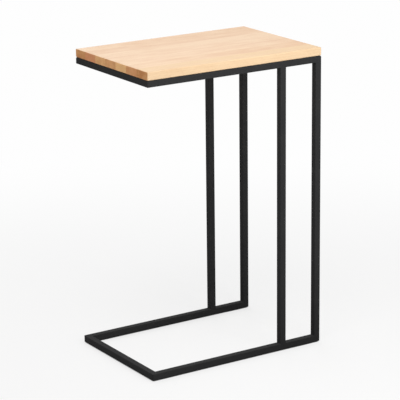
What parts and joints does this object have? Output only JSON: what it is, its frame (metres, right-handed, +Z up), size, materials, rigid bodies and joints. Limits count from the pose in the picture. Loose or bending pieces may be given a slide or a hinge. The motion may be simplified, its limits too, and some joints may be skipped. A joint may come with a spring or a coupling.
{
  "type": "c-shaped side table",
  "caption": "C-shaped side table: a rectangular wood top on a slim welded square-tube frame, with uprights at the rear and a low base, open behind, that slides under a sofa.",
  "frame": {"origin": "on the floor, under the middle of the table's footprint", "axes": "+Z up, +X along the long side towards the uprights at the rear, -X towards the open side of the C, -Y towards the near long side"},
  "size_m": [0.45, 0.305, 0.69],
  "materials": {
    "beech_top": "edge-glued beech, sanded and oiled",
    "frame": "matte black powder coat",
    "screws": "zinc plated",
    "glides": "moulded nylon"
  },
  "bodies": {
    "root": {"top_stave_1": "beech_top", "top_stave_2": "beech_top", "top_stave_3": "beech_top", "top_stave_4": "beech_top", "top_stave_5": "beech_top", "top_stave_6": "beech_top", "top_stave_7": "beech_top", "top_rail_near": "frame", "top_rail_far": "frame", "top_rail_front": "frame", "top_rail_rear": "frame", "upright_middle_near": "frame", "upright_middle_far": "frame", "upright_rear_near": "frame", "upright_rear_far": "frame", "base_rail_near": "frame", "base_rail_far": "frame", "base_rail_front": "frame", "fixing_tab_front": "frame", "fixing_tab_rear": "frame", "fixing_tab_near_front": "frame", "fixing_tab_near_rear": "frame", "fixing_tab_far_front": "frame", "fixing_tab_far_rear": "frame", "top_screw_front": "screws", "top_screw_rear": "screws", "top_screw_near_front": "screws", "top_screw_near_rear": "screws", "top_screw_far_front": "screws", "top_screw_far_rear": "screws", "floor_glide_front_near": "glides", "floor_glide_front_far": "glides", "floor_glide_rear_near": "glides", "floor_glide_rear_far": "glides"}
  },
  "joints": []
}
